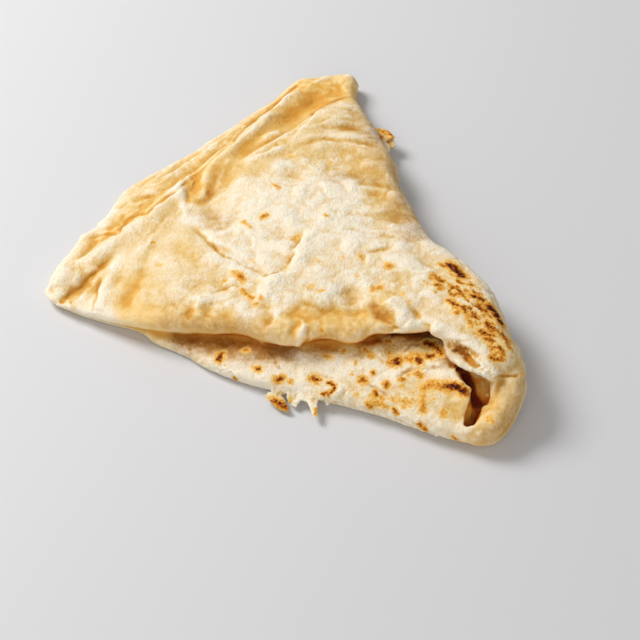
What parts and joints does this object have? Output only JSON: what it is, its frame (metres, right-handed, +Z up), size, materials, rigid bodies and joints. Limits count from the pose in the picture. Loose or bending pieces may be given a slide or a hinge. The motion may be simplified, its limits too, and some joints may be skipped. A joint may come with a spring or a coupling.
{
  "type": "folded roti",
  "caption": "Large flaky flatbread folded to a flat wedge, with stacked layers along its round side, a rolled fold, and an open rolled mouth at the narrow end.",
  "frame": {"origin": "middle of the box round the roti, on the plane it lies on", "axes": "+Z up, +X along the long front edge from the tail to the mouth, +Y away from the front edge towards the top corner"},
  "size_m": [0.1974, 0.1772, 0.0298],
  "materials": {
    "baked dough": "matt, pale cream to golden, with brown scorched spots"
  },
  "bodies": {
    "root": {"roti": "baked dough"}
  },
  "joints": []
}
